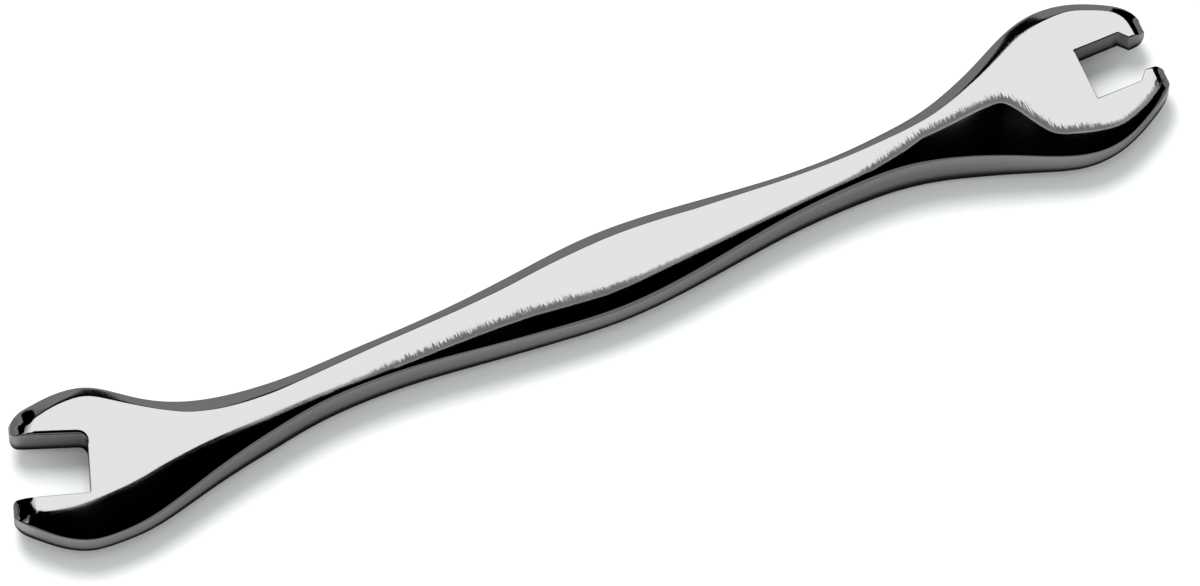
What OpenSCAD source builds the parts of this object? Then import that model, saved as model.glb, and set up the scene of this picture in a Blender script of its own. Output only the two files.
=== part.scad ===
// Double-ended spoke wrench: one steel forging with a turned open jaw at one end,
// a hooked four-flat jaw at the other, and a waisted handle that widens to a flat grip between them.
// Sizes are in millimetres. The handle lies along X, the open jaw is at the -X end, and Z is up.

/* [Overall] */
// Length of the centre line from the tip of the open jaw to the tip of the hooked jaw
spine_length = 128.5; // [110:0.5:160]
// Sideways bow of the slim handle, beside the line through the two heads
handle_bow = 0.57; // [0:0.01:1.2]
// Rounding of the long edges, where the side wall meets the crowned faces
edge_round = 0.25; // [0.1:0.05:0.5]

/* [Open jaw] */
// Turn of the open jaw from the line of the handle, in degrees
jaw_turn = 20.25; // [5:0.25:28]
// Distance from the middle of the handle to where the jaw's line leaves the handle's line
turn_reach = 51; // [48:0.5:53]
// Width of the open head across its two prongs
open_head_width = 17; // [15:0.1:21]
// Width of the blunt end that the two prongs share
open_tip_width = 10.6; // [9.6:0.1:12.4]
// Gap between the two flats, measured at the floor of the jaw
open_jaw_flats = 6.65; // [5:0.05:7.2]
// Depth of the open jaw from the prong ends to its floor
open_jaw_depth = 8.1; // [5:0.1:9]
// Angle by which each flat leans out toward the mouth, in degrees
open_jaw_flare = 1.65; // [0:0.05:3]
// Radius of the rounded inner corner on the back side of the jaw
open_jaw_fillet = 1; // [0.3:0.1:1.6]

/* [Hooked jaw] */
// Width of the hooked head
hook_head_width = 17.2; // [15:0.1:21]
// Width of the head at its very end, over both hooks
hook_tip_width = 7.4; // [6.6:0.1:9]
// Gap between the two long flats of the hooked jaw
hook_jaw_flats = 5.9; // [4.6:0.05:6.4]
// Length of each long flat from the floor of the jaw to the root of its hook
hook_jaw_run = 5.0; // [3.6:0.05:5.6]
// Depth of the floor of the hooked jaw from the end of the head
hook_jaw_depth = 7.85; // [6.5:0.05:8.6]
// Gap between the two hooks, which the spoke passes through
hook_throat = 3.95; // [2.4:0.05:4.4]
// Length of the slanted flat on the inner face of each hook, measured along the jaw
hook_flat_run = 0.85; // [0.4:0.05:1.1]
// Distance by which the hooks round off at the very end of the throat
hook_lead = 0.75; // [0.3:0.05:1]

/* [Handle] */
// Width of the slim neck beside the open head
open_neck_width = 4.2; // [3.4:0.1:6]
// Width of the flat grip at the middle of the handle
grip_width = 8.85; // [6.5:0.05:12]
// Width of the slim neck on the way to the hooked head
hook_neck_width = 4; // [3.4:0.1:6]
// Width of the deep shoulder just before the hooked head
shoulder_width = 6; // [5:0.1:8]

/* [Side wall height] */
// Height of the side wall at the tip of the open jaw
open_tip_wall = 1.9; // [1.4:0.05:2.4]
// Height of the side wall round the open head
open_head_wall = 3.0; // [2.6:0.05:4]
// Height of the side wall at the neck beside the open head
open_neck_wall = 5.3; // [4:0.05:6]
// Height of the side wall at the middle of the grip
grip_wall = 3.35; // [2.6:0.05:4.4]
// Height of the side wall at the neck beside the shoulder
hook_neck_wall = 5.05; // [4:0.05:6]
// Height of the side wall at the shoulder
shoulder_wall = 6.0; // [4.6:0.05:6.6]
// Height of the side wall round the hooked head
hook_head_wall = 3.4; // [2.6:0.05:3.5]
// Height of the side wall at the tip of the hooked jaw
hook_tip_wall = 2.1; // [1.5:0.05:2.4]

/* [Thickness at the middle] */
// Thickness at the tip of the open jaw
open_tip_thickness = 2.1; // [1.8:0.05:2.6]
// Thickness of the open head, which sets the height of its flats
open_head_thickness = 4.0; // [3.8:0.05:5.4]
// Thickness of the neck beside the open head
open_neck_thickness = 5.9; // [5.2:0.05:7]
// Thickness at the middle of the grip
grip_thickness = 4.25; // [3.8:0.05:5.6]
// Thickness of the neck beside the shoulder
hook_neck_thickness = 5.55; // [5:0.05:7]
// Thickness of the shoulder, the deepest place of the handle
shoulder_thickness = 7.0; // [6.2:0.05:8]
// Thickness of the hooked head
hook_head_thickness = 3.6; // [3.5:0.05:4.6]
// Thickness at the tip of the hooked jaw
hook_tip_thickness = 2.3; // [2:0.05:2.8]

/* [Fullness of the crown] */
// Fullness of the faces on the open head: 2 is an arch, and more is flatter with a quicker fall at the edge
open_head_fullness = 4; // [2:0.1:8]
// Fullness of the faces on the neck beside the open head
open_neck_fullness = 3; // [2:0.1:8]
// Fullness of the faces on the grip
grip_fullness = 4; // [2:0.1:8]
// Fullness of the faces on the neck beside the shoulder
hook_neck_fullness = 3; // [2:0.1:8]
// Fullness of the faces on the shoulder
shoulder_fullness = 2.2; // [2:0.1:8]
// Fullness of the faces on the hooked head
hook_head_fullness = 7; // [2:0.1:10]

/* [Hidden] */
$fn = 48;
// How finely the surface is drawn: cross sections between two stations, points across half a face, and steps round an edge
rib_steps = 2;
face_steps = 6;
edge_steps = 2;

// The handle's sizes at its eight key places, from the tip of the open jaw to the tip of the hooked jaw
key_half_width = [open_tip_width, open_head_width, open_neck_width, grip_width,
                  hook_neck_width, shoulder_width, hook_head_width, hook_tip_width] / 2;
key_half_wall = [open_tip_wall, open_head_wall, open_neck_wall, grip_wall,
                 hook_neck_wall, shoulder_wall, hook_head_wall, hook_tip_wall] / 2;
key_half_thickness = [open_tip_thickness, open_head_thickness, open_neck_thickness, grip_thickness,
                      hook_neck_thickness, shoulder_thickness, hook_head_thickness, hook_tip_thickness] / 2;
key_fullness = [open_head_fullness, open_head_fullness, open_neck_fullness, grip_fullness,
                hook_neck_fullness, shoulder_fullness, hook_head_fullness, hook_head_fullness];

// Stations along the forging. Columns: place as a share of spine_length, share of jaw_turn,
// share of handle_bow, key place that it starts from, share of the way to the next key place
// in width, and the same in height.
station_shares = [
    [-0.5098, 1.00,  0.00, 0,  0.000, 0.00],
    [-0.5073, 1.00,  0.00, 0,  0.126, 0.50],
    [-0.5013, 1.00,  0.00, 0,  0.340, 0.80],
    [-0.4913, 1.00,  0.00, 0,  0.539, 0.95],
    [-0.4773, 1.00,  0.00, 0,  0.803, 1.00],
    [-0.4617, 1.00,  0.00, 0,  0.994, 1.00],
    [-0.4449, 1.00,  0.00, 1, -0.026, 0.00],
    [-0.4263, 0.95,  0.00, 1,  0.083, 0.27],
    [-0.4045, 0.80,  0.00, 1,  0.255, 0.40],
    [-0.3796, 0.55,  0.00, 1,  0.489, 0.69],
    [-0.3524, 0.30,  0.01, 1,  0.694, 0.84],
    [-0.3228, 0.12, -0.03, 1,  0.842, 0.98],
    [-0.2917, 0.03,  0.10, 1,  0.936, 1.00],
    [-0.2567, 0.00,  0.69, 2, -0.033, 0.10],
    [-0.2139, 0.00,  1.14, 2, -0.005, 0.45],
    [-0.1633, 0.00,  0.75, 2,  0.078, 0.42],
    [-0.1089, 0.00,  0.08, 2,  0.389, 0.45],
    [-0.0544, 0.00, -0.02, 2,  0.740, 0.70],
    [ 0.0000, 0.00,  0.01, 3, -0.087, 0.00],
    [ 0.0544, 0.00,  0.00, 3,  0.098, 0.30],
    [ 0.1089, 0.00,  0.00, 3,  0.523, 0.80],
    [ 0.1633, 0.00,  0.01, 3,  0.916, 0.95],
    [ 0.2139, 0.00, -0.03, 4, -0.079, 0.00],
    [ 0.2567, 0.00,  0.11, 4,  0.142, 0.55],
    [ 0.2917, 0.00, -0.42, 5, -0.020, 0.00],
    [ 0.3213, 0.00, -0.54, 5,  0.210, 0.31],
    [ 0.3485, 0.00, -0.38, 5,  0.466, 0.52],
    [ 0.3749, 0.00, -0.04, 5,  0.766, 0.81],
    [ 0.3990, 0.00,  0.01, 5,  0.981, 0.92],
    [ 0.4216, 0.00,  0.00, 6, -0.022, 0.00],
    [ 0.4418, 0.00,  0.00, 6,  0.080, 0.00],
    [ 0.4605, 0.00,  0.00, 6,  0.301, 0.03],
    [ 0.4760, 0.00,  0.00, 6,  0.540, 0.10],
    [ 0.4854, 0.00,  0.00, 6,  0.723, 0.25],
    [ 0.4900, 0.00,  0.00, 6,  0.916, 0.55],
    [ 0.4916, 0.00,  0.00, 6,  1.000, 1.00]
];
last_station = len(station_shares) - 1;

// A point on the forging's line at a signed distance from the middle of the handle: straight along the
// handle, then off along the turned jaw
function line_point(along) =
    along < -turn_reach
        ? [-turn_reach + (along + turn_reach) * cos(jaw_turn), -(along + turn_reach) * sin(jaw_turn)]
        : [along, 0];
function between(keys, zone, share) = keys[zone] + (keys[zone + 1] - keys[zone]) * share;

// Each station's control values: x, y, turn, half width, half wall, half thickness and fullness
function station(s) =
    let (at = line_point(s[0] * spine_length))
    [at[0], at[1] + s[2] * handle_bow, s[1] * jaw_turn,
     between(key_half_width, s[3], s[4]), between(key_half_wall, s[3], s[5]),
     between(key_half_thickness, s[3], s[5]), between(key_fullness, s[3], s[5])];
stations = [for (s = station_shares) station(s)];
controls = concat([2 * stations[0] - stations[1]], stations,
                  [2 * stations[last_station] - stations[last_station - 1]]);

// A smooth cubic blend of four neighbouring stations
function rib_values(i, f) =
    ((1 - f) * (1 - f) * (1 - f) * controls[i]
     + (3 * f * f * f - 6 * f * f + 4) * controls[i + 1]
     + (-3 * f * f * f + 3 * f * f + 3 * f + 1) * controls[i + 2]
     + f * f * f * controls[i + 3]) / 6;
ribs = concat([for (i = [0 : last_station - 1], j = [0 : rib_steps - 1]) rib_values(i, j / rib_steps)],
              [rib_values(last_station - 1, 1)]);
last_rib = len(ribs) - 1;

// Half of a cross section's height at a distance across from its middle
function crown(r, across) = r[4] + (r[5] - r[4]) * (1 - pow(abs(across) / r[3], r[6]));
// The upper half of a cross section, from its back edge to its front edge: [across, height]
function upper_half(r) =
    let (inner = r[3] - edge_round, rim = crown(r, inner) - edge_round)
    concat([for (k = [0 : edge_steps - 1]) let (q = 90 * k / edge_steps)
                [inner + edge_round * cos(q), rim + edge_round * sin(q)]],
           [for (k = [-face_steps : face_steps]) let (across = -inner * sin(90 * k / face_steps))
                [across, crown(r, across)]],
           [for (k = [edge_steps - 1 : -1 : 0]) let (q = 90 * k / edge_steps)
                [-inner - edge_round * cos(q), rim + edge_round * sin(q)]]);
function section(r) =
    let (top = upper_half(r), last = len(top) - 1)
    concat(top, [for (k = [last : -1 : 0]) [top[k][0], -top[k][1]]]);
// A cross section's points set across the forging's line: the rib turns with the jaw
function placed(r) = [for (p = section(r)) [r[0] + p[0] * sin(r[2]), r[1] + p[0] * cos(r[2]), p[1]]];
rings = [for (r = ribs) placed(r)];
ring_size = len(rings[0]);

shell_points = [for (ring = rings, p = ring) p];
xs = [for (p = shell_points) p[0]];
ys = [for (p = shell_points) p[1]];
zs = [for (p = shell_points) p[2]];
// The middle of the forging's box is put over the origin and its lowest place on Z = 0
shift = [-(min(xs) + max(xs)) / 2, -(min(ys) + max(ys)) / 2, -min(zs)];
middle_height = shift[2];
overall_length = max(xs) - min(xs);
overall_width = max(ys) - min(ys);
cut_height = (max(zs) - min(zs)) * 1.5;

function ring_index(i, k) = i * ring_size + (k % ring_size);
shell_faces = concat(
    [[for (k = [0 : ring_size - 1]) ring_index(0, k)]],
    [[for (k = [ring_size - 1 : -1 : 0]) ring_index(last_rib, k)]],
    [for (i = [0 : last_rib - 1], k = [0 : ring_size - 1])
        [ring_index(i, k), ring_index(i + 1, k), ring_index(i + 1, k + 1)]],
    [for (i = [0 : last_rib - 1], k = [0 : ring_size - 1])
        [ring_index(i, k), ring_index(i + 1, k + 1), ring_index(i, k + 1)]]);

// The open jaw: its floor lies across the turned line, and its mouth runs out past the prongs
open_tip_along = -station_shares[0][0] * spine_length - turn_reach;
open_floor = open_tip_along - open_jaw_depth;
open_mouth = open_tip_along + open_jaw_depth;
open_half = open_jaw_flats / 2;
open_mouth_half = open_half + (open_mouth - open_floor) * tan(open_jaw_flare);
// Middle of the rounded corner, which touches both the floor and the leaning flat
corner_along = open_floor + open_jaw_fillet;
corner_across = open_half + open_jaw_fillet * (tan(open_jaw_flare) - 1 / cos(open_jaw_flare));
corner_steps = 8;
// Outline in the jaw's own frame: +X out of the mouth, +Y toward the rounded corner
open_jaw_outline = concat(
    [[open_mouth, -open_mouth_half], [open_mouth, open_mouth_half]],
    [for (k = [0 : corner_steps])
        let (q = 90 + open_jaw_flare + (90 - open_jaw_flare) * k / corner_steps)
        [corner_along + open_jaw_fillet * cos(q), corner_across + open_jaw_fillet * sin(q)]],
    [[open_floor, -open_half]]);

// The hooked jaw: floor, long flats, slanted flats on the hooks, throat and lead-in
hook_tip = station_shares[last_station][0] * spine_length;
hook_floor = hook_tip - hook_jaw_depth;
hook_half = hook_jaw_flats / 2;
throat_half = hook_throat / 2;
hook_root = hook_floor + hook_jaw_run;
throat_start = hook_root + hook_flat_run;
throat_end = hook_tip - hook_lead;
// How the lead-in curves away from the throat: shares of hook_lead along and across
lead_in_shares = [[0.55, 0.18], [1, 0.7]];
hook_half_outline = [
    [hook_floor, hook_half], [hook_root, hook_half], [throat_start, throat_half],
    [throat_end, throat_half],
    for (share = lead_in_shares) [throat_end + hook_lead * share[0], throat_half + hook_lead * share[1]],
    [hook_tip + hook_jaw_depth, throat_half + hook_jaw_depth]
];
hook_outline = concat(hook_half_outline,
    [for (k = [len(hook_half_outline) - 1 : -1 : 0]) [hook_half_outline[k][0], -hook_half_outline[k][1]]]);

echo(size = [overall_length, overall_width, 2 * middle_height]);
echo(shift = shift, open_floor = open_floor, hook_floor = hook_floor);

// The whole wrench is one forging, cut at both ends by its jaws
module forged_body() {
    color([0.78, 0.79, 0.8])
    translate(shift)
    difference() {
        polyhedron(points = shell_points, faces = shell_faces, convexity = 8);
        translate([-turn_reach, 0, -cut_height / 2])
            rotate([0, 0, 180 - jaw_turn])
                mirror([0, 1, 0])
                    linear_extrude(height = cut_height) polygon(open_jaw_outline);
        translate([0, 0, -cut_height / 2])
            linear_extrude(height = cut_height) polygon(hook_outline);
    }
}

forged_body();
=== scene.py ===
"""Looks of a double-ended spoke wrench: one forging in polished chrome plate, on a pale studio table.

The forging is drawn from cross sections along its handle. Its plan is cut by an open jaw at one end and a
hooked jaw at the other, and every long edge is rounded over by polishing. Lengths in the tables are in
millimetres in the wrench's own frame: X along the handle, Y to the side that the open jaw turns toward, and
Z = 0 on the middle plane. Blender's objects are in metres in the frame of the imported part.
"""

from __future__ import annotations

import logging
import math
from dataclasses import astuple, dataclass, field, replace
from enum import Enum

import bpy
import numpy as np
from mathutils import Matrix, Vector
from mathutils.geometry import delaunay_2d_cdt
from mathutils.kdtree import KDTree

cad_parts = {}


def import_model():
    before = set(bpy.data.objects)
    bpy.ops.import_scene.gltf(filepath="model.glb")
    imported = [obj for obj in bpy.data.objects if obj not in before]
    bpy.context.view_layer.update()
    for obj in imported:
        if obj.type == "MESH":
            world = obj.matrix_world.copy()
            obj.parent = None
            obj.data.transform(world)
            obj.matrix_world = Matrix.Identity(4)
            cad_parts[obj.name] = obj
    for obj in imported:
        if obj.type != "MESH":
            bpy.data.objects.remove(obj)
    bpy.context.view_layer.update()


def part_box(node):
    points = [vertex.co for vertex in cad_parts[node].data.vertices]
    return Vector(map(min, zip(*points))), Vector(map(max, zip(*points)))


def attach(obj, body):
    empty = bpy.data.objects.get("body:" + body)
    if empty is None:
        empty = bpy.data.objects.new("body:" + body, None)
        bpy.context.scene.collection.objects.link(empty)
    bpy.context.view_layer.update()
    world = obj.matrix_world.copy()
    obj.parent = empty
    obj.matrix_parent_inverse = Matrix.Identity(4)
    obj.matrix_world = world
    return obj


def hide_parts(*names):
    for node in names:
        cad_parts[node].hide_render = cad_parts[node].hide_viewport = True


LOG = logging.getLogger("spoke_wrench")
MM = 0.001
BATCH = 1500  # rows worked on at once, which keeps the tables of distances small
SAME_PLACE = 1e-7  # millimetres within which the triangulation takes two points as one
NOT_ZERO = 1e-9  # keeps a length that something is divided by off zero
MIX_A, MIX_B, MIX_RESULT = 6, 7, 2  # the colour sockets of a Mix node
Amount = float | np.ndarray  # one number, or one per place


def linear(hex_colour: str) -> tuple[float, float, float, float]:
    """Turn an sRGB hex colour into Blender's linear colour.

    Args:
        hex_colour: Six hex digits.

    Returns:
        Linear red, green and blue, and full opacity.
    """
    channels = [int(hex_colour[i : i + 2], 16) / 255 for i in (0, 2, 4)]
    r, g, b = (c / 12.92 if c <= 0.04045 else ((c + 0.055) / 1.055) ** 2.4 for c in channels)
    return r, g, b, 1.0


def add_node(
    tree: bpy.types.NodeTree,
    kind: str,
    links: dict[str, bpy.types.Node | bpy.types.NodeSocket] | None = None,
    **settings: object,
) -> bpy.types.Node:
    """Add one shader node with its settings and its incoming links.

    Args:
        tree: The node tree that gets the node.
        kind: Blender's name of the node's class, without ShaderNode before it.
        links: Input name, or its number as text, to the socket that feeds it, or to a node whose first output does.
        settings: Property names or input names, with underscores for spaces, and their values.

    Returns:
        The new node.
    """
    node = tree.nodes.new("ShaderNode" + kind)
    for name, value in settings.items():
        if hasattr(node, name):
            setattr(node, name, value)
        else:
            node.inputs[name.replace("_", " ")].default_value = value
    for name, source in (links or {}).items():
        socket = source.outputs[0] if isinstance(source, bpy.types.Node) else source
        tree.links.new(socket, node.inputs[int(name) if name.isdigit() else name])
    return node


def ranges(given: tuple[float, float], wanted: tuple[float, float] = (0.0, 1.0)) -> dict[str, float]:
    """Settings that turn one range of values into another."""
    return {"From_Min": given[0], "From_Max": given[1], "To_Min": wanted[0], "To_Max": wanted[1]}


def blank_material(name: str) -> tuple[bpy.types.Material, bpy.types.NodeTree]:
    """Add a material with an empty node tree.

    Args:
        name: Name of the material.

    Returns:
        The material and its node tree.
    """
    material = bpy.data.materials.new(name)
    material.use_nodes = True
    material.node_tree.nodes.clear()
    return material, material.node_tree


def add_object(name: str, data: bpy.types.ID) -> bpy.types.Object:
    """Put a mesh, a camera or a light in the scene, at the origin.

    Args:
        name: Name of the object.
        data: What the object shows.

    Returns:
        The object.
    """
    thing = bpy.data.objects.new(name, data)
    bpy.context.scene.collection.objects.link(thing)
    return thing


def unit(rows: np.ndarray) -> np.ndarray:
    """Make every row's length 1."""
    return rows / np.linalg.norm(rows, axis=1)[:, None]


def run_lengths(points: np.ndarray) -> np.ndarray:
    """Length of the line through the given points, up to each of them."""
    return np.concatenate([[0.0], np.cumsum(np.linalg.norm(np.diff(points, axis=0), axis=1))])


def batches(count: int) -> list[np.ndarray]:
    """Split the numbers of so many rows into batches."""
    return np.array_split(np.arange(count), max(1, count // BATCH))


class EdgeKind(Enum):
    """Which boundary of the plan a point lies on."""

    RIM = 0
    TIP = 1
    JAW = 2


@dataclass(frozen=True)
class Station:
    """One control section of the forging, in millimetres and degrees.

    The face falls from its crest by a drop toward each edge, slowly at first where the power is high. Past the
    back and the front ridge it falls away more steeply, and each edge then has its own rounding. Where sections
    are blended, each field holds one number per place, and the turn is in radians.
    """

    x: Amount
    y: Amount
    turn: Amount
    half_width: Amount
    crest: Amount
    back_drop: Amount
    back_power: Amount
    front_drop: Amount
    front_power: Amount
    back_round: Amount
    front_round: Amount
    back_fall: Amount
    front_fall: Amount


@dataclass(frozen=True)
class RidgePoint:
    """A place on a ridge line, and how softly the face turns there, in millimetres."""

    x: float
    y: float
    softness: float


@dataclass
class Ridge:
    """A line along the forging where polishing turned the flat of the face into a long facet.

    The facet lies to the back for side 1 and to the front for side -1. The line's places are spaced evenly, and its
    corners are eased by a bell-shaped weight.
    """

    points: tuple[RidgePoint, ...]
    side: int
    spacing: float = 0.05
    overrun: float = 6.0
    easing: float = 0.4
    easing_reach: float = 4.0
    steepest: float = 40.0
    places: np.ndarray = field(init=False)
    outward: np.ndarray = field(init=False)
    softness: np.ndarray = field(init=False)
    tree: KDTree = field(init=False)

    def __post_init__(self) -> None:
        """Run the line past both ends, ease its corners and space it evenly."""
        rows = np.array([astuple(p) for p in self.points])
        for first, second, at in ((0, 1, 0), (-1, -2, len(rows) + 1)):
            away = rows[first, :2] - rows[second, :2]
            end = rows[first, :2] + away / np.linalg.norm(away) * self.overrun
            rows = np.insert(rows, at, [*end, rows[first, 2]], axis=0)
        run = run_lengths(rows[:, :2])
        stops = np.arange(0, run[-1], self.spacing)
        line = np.stack([np.interp(stops, run, rows[:, k]) for k in range(3)], 1)
        reach = int(self.easing_reach * self.easing / self.spacing)
        weights = np.exp(-0.5 * (np.arange(-reach, reach + 1) * self.spacing / self.easing) ** 2)
        eased = np.pad(line, ((reach, reach), (0, 0)), mode="edge")
        line = np.stack([np.convolve(eased[:, k], weights / weights.sum(), mode="valid") for k in range(3)], 1)
        self.places, self.softness = line[:, :2], line[:, 2]
        tangent = unit(np.gradient(self.places, axis=0))
        self.outward = self.side * np.stack([-tangent[:, 1], tangent[:, 0]], 1)
        self.tree = KDTree(len(line))
        for k, (x, y) in enumerate(self.places):
            self.tree.insert((x, y, 0.0), k)
        self.tree.balance()

    def measure(self, points: np.ndarray) -> tuple[np.ndarray, np.ndarray, np.ndarray]:
        """Measure plan points against the line.

        Args:
            points: Plan points, one row each.

        Returns:
            How far each point lies past the line, the direction of that, and the softness there.
        """
        index = np.array([self.tree.find((x, y, 0.0))[1] for x, y in points])
        outward = self.outward[index]
        tangent = np.stack([outward[:, 1], -outward[:, 0]], 1)
        step = np.clip(((points - self.places[index]) * tangent).sum(1) / self.spacing * self.side, -1, 1)
        other = np.clip(index + np.where(step > 0, 1, -1), 0, len(self.places) - 1)
        f = np.abs(step)[:, None]
        place = self.places[index] * (1 - f) + self.places[other] * f
        outward = outward * (1 - f) + self.outward[other] * f
        return ((points - place) * outward).sum(1), outward, self.softness[index]

    def depth(self, points: np.ndarray) -> tuple[np.ndarray, np.ndarray]:
        """How deep the facet lies under the flat, for a fall of one in one.

        Args:
            points: Plan points, one row each.

        Returns:
            The depths, and their slopes in X and Y.
        """
        past, outward, soft = self.measure(points)
        share = past / soft
        easing = 1 + np.exp(-np.clip(share, -self.steepest, self.steepest))
        return soft * np.logaddexp(0.0, share), outward / easing[:, None]


STATIONS = tuple(
    Station(*row)
    for row in (
        (-64.6, 5.04, 20.25, 5.32, 2.27, 0.59, 5.7, 0.29, 1.8, 0.1, 0.32, 0.12, 0.081),
        (-64.3, 4.93, 20.25, 5.72, 2.25, 0.58, 4.7, 0.28, 1.9, 0.11, 0.32, 0.12, 0.075),
        (-63.58, 4.66, 20.25, 6.4, 2.17, 0.56, 5.0, 0.29, 2.9, 0.13, 0.3, 0.12, 0.063),
        (-62.37, 4.21, 20.25, 7.03, 2.1, 0.5, 5.0, 0.29, 3.8, 0.14, 0.25, 0.12, 0.046),
        (-60.68, 3.59, 20.25, 7.89, 2.09, 0.39, 5.0, 0.27, 4.7, 0.14, 0.15, 0.09, 0.031),
        (-58.8, 2.9, 20.25, 8.51, 2.05, 0.27, 5.0, 0.25, 3.9, 0.15, 0.15, 0.09, 0.027),
        (-56.77, 2.19, 20.25, 8.71, 2.05, 0.17, 1.8, 0.26, 2.3, 0.17, 0.15, 0.14, 0.031),
        (-54.52, 1.41, 19.24, 8.02, 2.13, 0.11, 1.8, 0.33, 1.8, 0.17, 0.15, 0.17, 0.045),
        (-51.88, 0.48, 16.2, 6.94, 2.33, 0.07, 2.3, 0.39, 2.0, 0.17, 0.38, 0.188, 0.041),
        (-48.76, 0.12, 11.14, 5.49, 2.52, 0.08, 2.3, 0.41, 1.8, 0.17, 0.41, 0.255, 0.027),
        (-45.28, 0.04, 6.08, 4.2, 2.68, 0.1, 2.0, 0.38, 1.9, 0.16, 0.38, 0.284, 0.021),
        (-41.48, -0.01, 2.43, 3.22, 2.82, 0.1, 1.8, 0.28, 1.9, 0.13, 0.39, 0.204, 0.004),
        (-37.48, 0.06, 0.61, 2.57, 2.89, 0.09, 1.8, 0.18, 2.3, 0.11, 0.4, 0.17, 0.0),
        (-32.99, 0.34, 0.0, 2.07, 2.78, 0.11, 1.8, 0.09, 2.5, 0.14, 0.47, 0.17, 0.008),
        (-27.49, 0.56, 0.0, 2.14, 2.63, 0.16, 1.8, 0.06, 3.3, 0.17, 0.48, 0.17, 0.01),
        (-20.98, 0.39, 0.0, 2.31, 2.6, 0.18, 1.9, 0.11, 2.0, 0.17, 0.29, 0.17, 0.0),
        (-13.99, 0.07, 0.0, 3.0, 2.55, 0.18, 3.0, 0.19, 1.8, 0.17, 0.15, 0.17, 0.0),
        (-6.99, 0.01, 0.0, 3.84, 2.36, 0.19, 4.3, 0.27, 1.8, 0.17, 0.37, 0.17, 0.0),
        (0.0, 0.01, 0.0, 4.69, 2.23, 0.21, 5.6, 0.34, 2.6, 0.17, 0.6, 0.204, 0.0),
        (6.99, -0.01, 0.0, 4.27, 2.34, 0.22, 7.0, 0.31, 2.7, 0.17, 0.56, 0.202, 0.002),
        (13.99, -0.01, 0.0, 3.26, 2.55, 0.23, 8.1, 0.23, 3.4, 0.17, 0.49, 0.187, 0.008),
        (20.98, -0.01, 0.0, 2.31, 2.75, 0.28, 8.5, 0.15, 3.7, 0.17, 0.58, 0.216, 0.0),
        (27.49, -0.05, 0.0, 2.01, 2.95, 0.33, 8.0, 0.1, 2.9, 0.17, 0.6, 0.265, 0.011),
        (32.99, 0.06, 0.0, 2.2, 3.23, 0.34, 6.8, 0.05, 1.8, 0.17, 0.49, 0.276, 0.055),
        (37.48, -0.18, 0.0, 2.88, 3.32, 0.31, 5.6, 0.03, 1.8, 0.16, 0.24, 0.228, 0.072),
        (41.29, -0.24, 0.0, 4.12, 3.32, 0.28, 5.2, 0.1, 1.8, 0.17, 0.17, 0.17, 0.045),
        (44.78, -0.19, 0.0, 5.54, 3.03, 0.23, 5.0, 0.17, 1.8, 0.17, 0.16, 0.15, 0.037),
        (48.17, -0.01, 0.0, 7.25, 2.53, 0.17, 4.3, 0.14, 1.8, 0.17, 0.19, 0.11, 0.077),
        (51.27, 0.05, 0.0, 8.48, 2.14, 0.1, 3.6, 0.07, 5.2, 0.16, 0.19, 0.12, 0.016),
        (54.18, 0.09, 0.0, 8.73, 1.81, 0.01, 2.9, 0.08, 7.2, 0.13, 0.15, 0.17, 0.04),
        (56.77, 0.15, 0.0, 8.24, 1.65, 0.0, 2.4, 0.1, 7.5, 0.14, 0.15, 0.207, 0.029),
        (59.17, 0.21, 0.0, 7.17, 1.66, 0.0, 2.0, 0.13, 6.9, 0.16, 0.32, 0.281, 0.025),
        (61.17, 0.21, 0.0, 6.0, 1.7, 0.0, 1.8, 0.13, 5.5, 0.17, 0.6, 0.251, 0.003),
        (62.37, 0.15, 0.0, 5.13, 1.58, 0.0, 1.8, 0.13, 3.6, 0.17, 0.6, 0.221, 0.0),
        (62.96, 0.09, 0.0, 4.23, 1.41, 0.0, 1.8, 0.11, 1.8, 0.17, 0.4, 0.246, 0.0),
        (63.17, 0.06, 0.0, 3.86, 1.36, 0.0, 1.8, 0.11, 1.8, 0.17, 0.32, 0.264, 0.0),
    )
)

BACK_RIDGE = tuple(
    RidgePoint(*row)
    for row in (
        (-62.35, 8.12, 0.2), (-60.33, 8.97, 0.2), (-58.82, 9.3, 0.2), (-57.32, 9.48, 0.08),
        (-55.83, 9.47, 0.08), (-54.33, 9.3, 0.08), (-52.85, 8.19, 0.08), (-51.38, 6.97, 0.08),
        (-48.43, 4.77, 0.08), (-45.47, 2.93, 0.08), (-42.5, 1.93, 0.08), (-39.52, 1.35, 0.16),
        (-36.52, 1.14, 0.16), (-33.51, 1.37, 0.08), (-30.49, 1.56, 0.08), (-27.48, 1.73, 0.08),
        (-24.48, 1.9, 0.08), (-21.47, 1.97, 0.08), (-18.47, 2.04, 0.08), (-15.47, 2.1, 0.08),
        (-12.45, 2.27, 0.08), (-9.44, 2.47, 0.08), (-6.42, 2.86, 0.08), (-3.41, 3.14, 0.08),
        (-0.41, 3.31, 0.08), (2.6, 3.38, 0.08), (5.59, 3.23, 0.08), (8.57, 2.93, 0.08),
        (11.56, 2.51, 0.08), (14.54, 2.24, 0.08), (17.53, 1.99, 0.08), (20.51, 1.7, 0.08),
        (23.5, 1.48, 0.08), (26.48, 1.33, 0.08), (29.46, 1.25, 0.08), (32.44, 1.29, 0.08),
        (35.42, 1.41, 0.08), (38.41, 1.75, 0.08), (41.42, 2.56, 0.08), (44.46, 3.79, 0.35),
        (47.54, 5.17, 0.4), (49.59, 5.88, 0.45), (50.61, 6.28, 0.4), (53.67, 7.37, 0.08),
        (56.7, 7.5, 0.08), (59.7, 6.17, 0.08), (60.5, 5.75, 0.08), (61.27, 5.16, 0.1),
        (61.65, 4.6, 0.16), (61.72, 3.8, 0.2), (61.78, 2.85, 0.2), (61.8, 1.6, 0.2),
    )
)

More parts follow.
